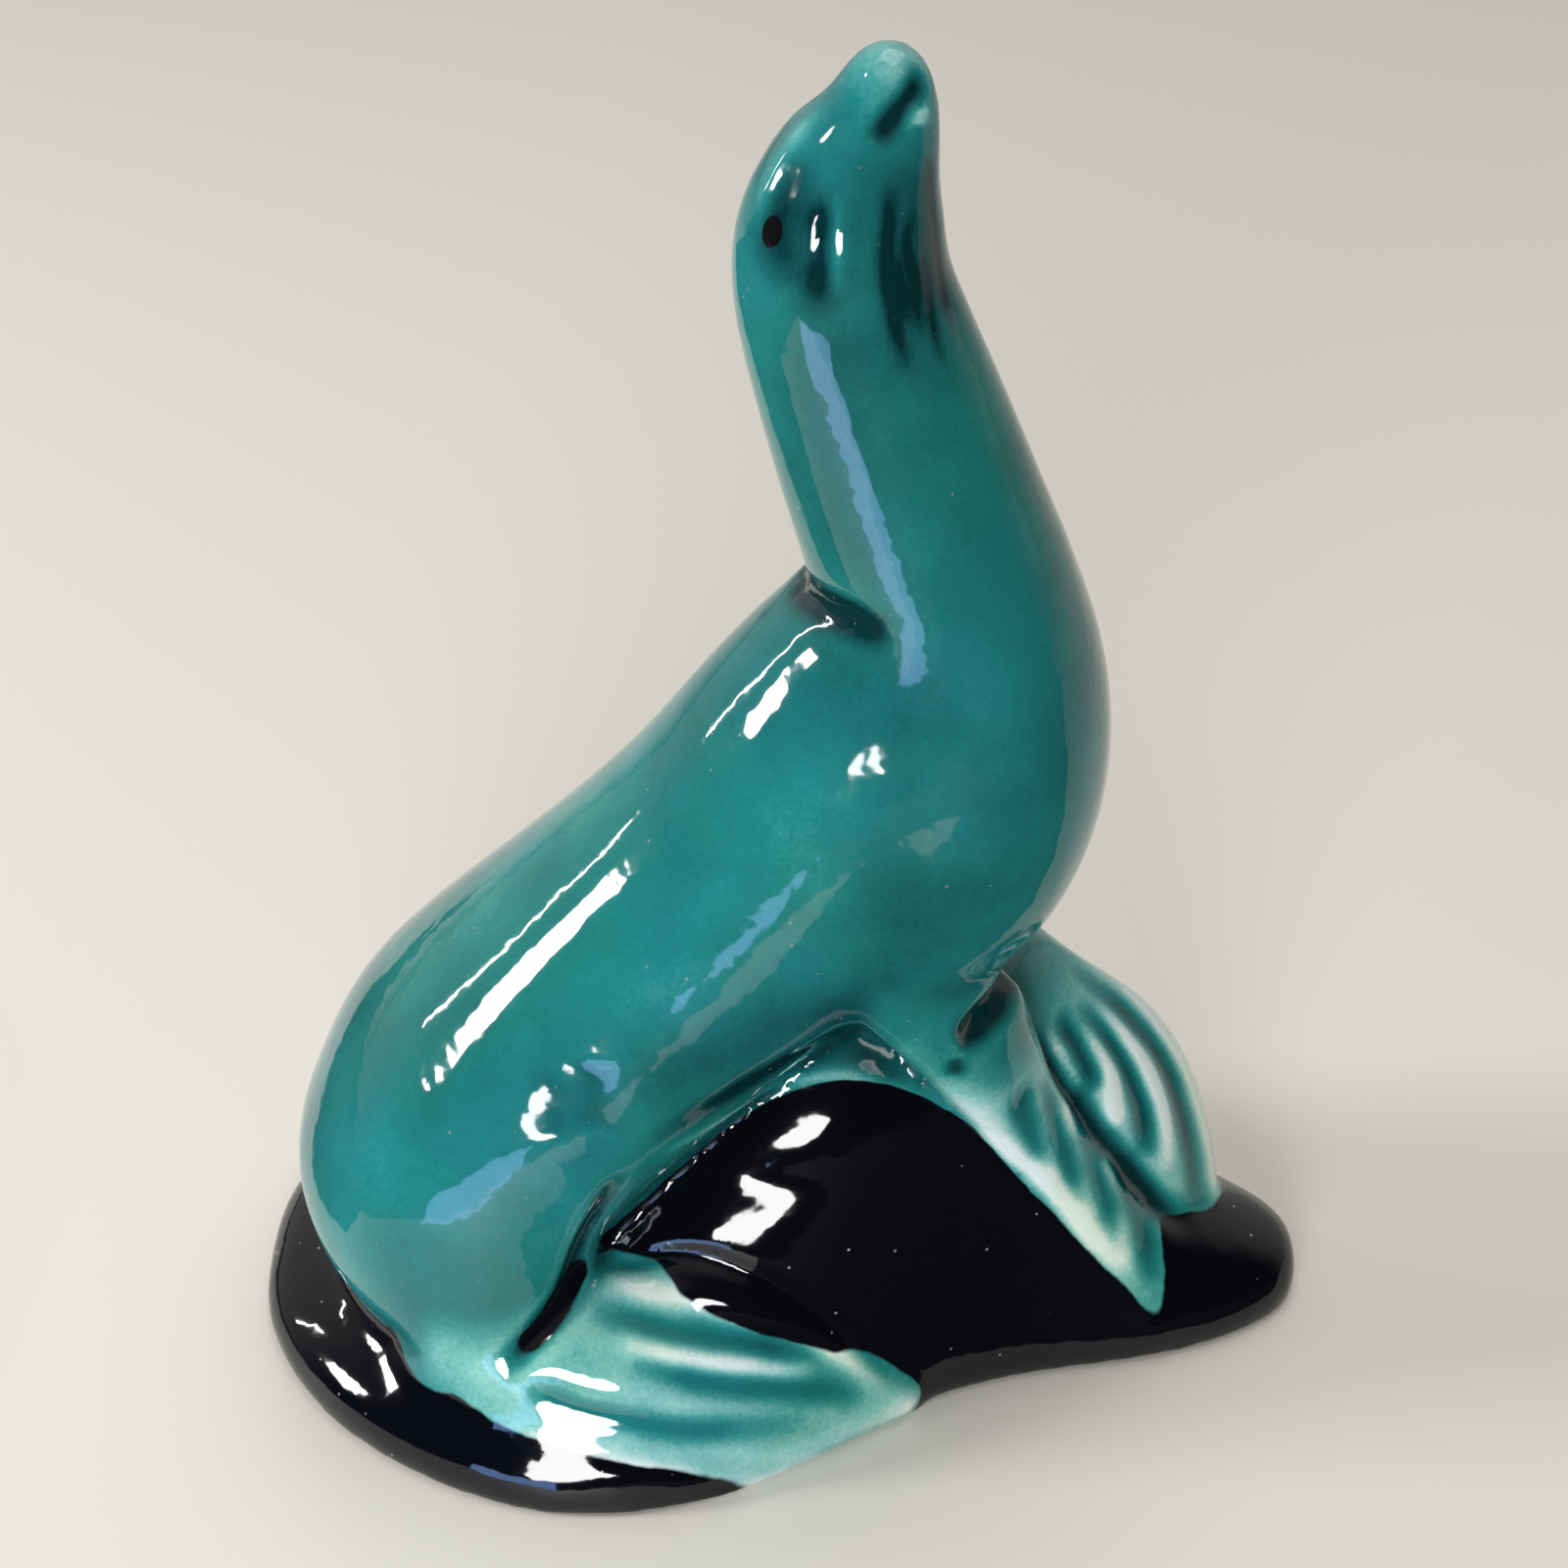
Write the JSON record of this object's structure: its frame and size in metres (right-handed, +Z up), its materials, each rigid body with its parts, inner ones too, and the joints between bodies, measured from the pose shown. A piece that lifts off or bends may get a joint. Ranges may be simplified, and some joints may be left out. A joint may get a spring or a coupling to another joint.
{
  "type": "seal figurine",
  "caption": "Glazed pottery seal reared up on a dark rock, with pierced eyes and fluted flippers, hollow-cast with a flat foot and a pour hole under it.",
  "frame": {"origin": "centre of the bounding box at the height of the foot, on the surface it stands on", "axes": "+Z up, +X the way the seal faces, its right side towards -Y"},
  "size_m": [0.1307, 0.0844, 0.1619],
  "materials": {
    "glaze": "glossy deep teal glaze over the seal, black glaze over the rock"
  },
  "bodies": {
    "root": {"seal_figurine": "glaze"}
  },
  "joints": []
}
